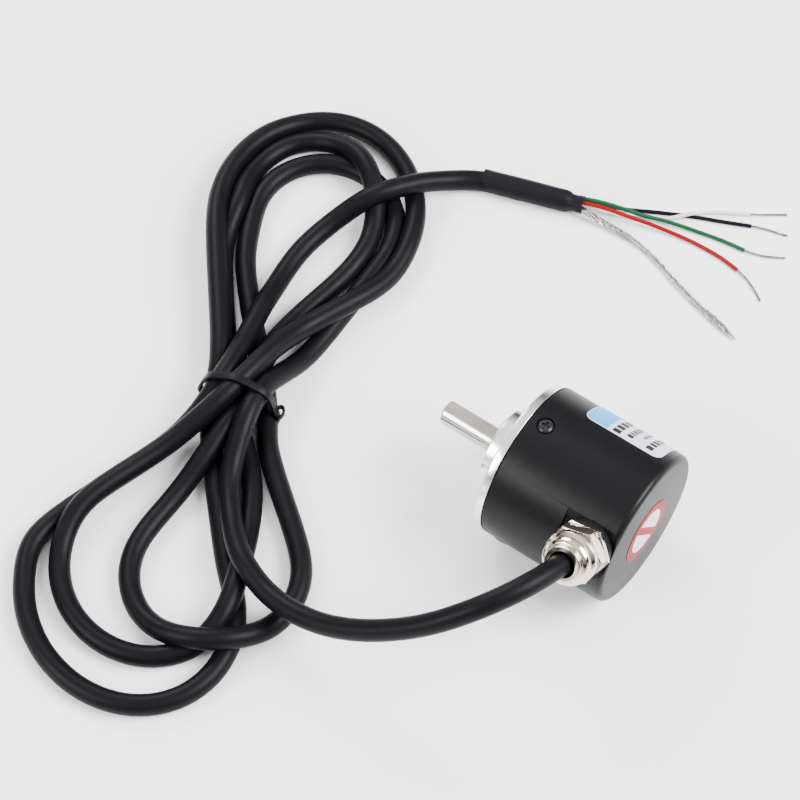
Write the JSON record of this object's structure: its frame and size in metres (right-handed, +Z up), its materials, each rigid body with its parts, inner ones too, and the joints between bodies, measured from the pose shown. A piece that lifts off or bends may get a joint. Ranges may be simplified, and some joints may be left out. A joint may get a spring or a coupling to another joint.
{
  "type": "rotary encoder",
  "caption": "Incremental rotary encoder: round body with a mounting flange, a flatted shaft in ball bearings, a cable gland and a long lead tied in a figure-eight hank.",
  "frame": {"origin": "on the floor under the middle of the body as it lies on its side, half way from the shaft's end to the rear face", "axes": "+X along the shaft axis towards the rear face, +Z up, the cable gland on the -Y side"},
  "size_m": [0.1479, 0.2061, 0.0397],
  "materials": {
    "turned_aluminium": "fine turned, bright",
    "black_satin": "satin black",
    "black_steel": "blackened steel",
    "ground_steel": "ground",
    "bearing_steel": "polished",
    "nickel": "bright nickel plate",
    "brass": "machined",
    "rubber": "matte",
    "board": "solder resist",
    "black_plastic": "matte",
    "clear_resin": "clear",
    "disc_steel": "etched",
    "glass": "clear",
    "capacitor_can": "sleeved can",
    "connector_plastic": "matte",
    "label_paper": "printed, satin",
    "sticker_red": "printed, satin",
    "cord_sheath": "matte PVC",
    "red_sheath": "PVC",
    "green_sheath": "PVC",
    "black_sheath": "PVC",
    "white_sheath": "PVC",
    "tinned_copper": "tinned copper"
  },
  "bodies": {
    "housing": {"mounting_flange": "turned_aluminium", "shaft_dust_ring": "rubber", "bearing_outer_spacer": "turned_aluminium", "bearing_retaining_ring": "black_steel", "cover_seal_ring": "rubber", "front_bearing_outer": "bearing_steel", "rear_bearing_outer": "bearing_steel", "emitter_holder": "black_plastic", "light_emitter": "clear_resin", "mask_plate": "glass", "photo_sensor": "black_plastic", "sensor_board": "board", "board_standoff_1": "brass", "board_standoff_2": "brass", "board_standoff_3": "brass", "board_screw_1": "nickel", "board_screw_2": "nickel", "board_screw_3": "nickel", "driver_chip": "black_plastic", "capacitor": "capacitor_can", "core_connector": "connector_plastic", "rear_cover": "black_satin", "cover_screw_1": "black_steel", "cover_screw_2": "black_steel", "cover_screw_3": "black_steel", "name_label": "label_paper", "rear_sticker": "sticker_red", "gland_washer": "rubber", "gland_locknut": "nickel", "gland_body": "nickel", "gland_seal": "rubber", "gland_cap": "nickel", "core_bundle": "black_sheath", "cord_lead": "cord_sheath", "cord_hank": "cord_sheath", "hank_tie": "black_plastic", "cord_tail": "cord_sheath", "end_sleeve": "rubber", "wire_green": "green_sheath", "wire_red": "red_sheath", "wire_black": "black_sheath", "wire_white": "white_sheath", "conductor_green": "tinned_copper", "conductor_red": "tinned_copper", "conductor_black": "tinned_copper", "conductor_white": "tinned_copper", "shield_braid": "tinned_copper"},
    "rotor": {"shaft": "ground_steel", "shaft_circlip": "black_steel", "disc_hub": "brass", "hub_set_screw": "black_steel", "code_disc": "disc_steel", "disc_clamp_ring": "brass", "front_bearing_inner": "bearing_steel", "rear_bearing_inner": "bearing_steel"},
    "front_cage": {"front_ball_cage": "brass"},
    "rear_cage": {"rear_ball_cage": "brass"}
  },
  "joints": [
    {"name": "shaft_spin", "type": "hinge", "parent": "housing", "child": "rotor", "pos_m": [0, 0, 0.019], "axis": [1, 0, 0], "continuous": true},
    {"name": "front_cage_spin", "type": "hinge", "parent": "housing", "child": "front_cage", "pos_m": [0, 0, 0.019], "axis": [1, 0, 0], "continuous": true},
    {"name": "rear_cage_spin", "type": "hinge", "parent": "housing", "child": "rear_cage", "pos_m": [0, 0, 0.019], "axis": [1, 0, 0], "continuous": true}
  ],
  "couplings": [
    {"joint": "front_cage_spin", "follows": "shaft_spin", "ratio": 0.416},
    {"joint": "rear_cage_spin", "follows": "shaft_spin", "ratio": 0.416}
  ]
}
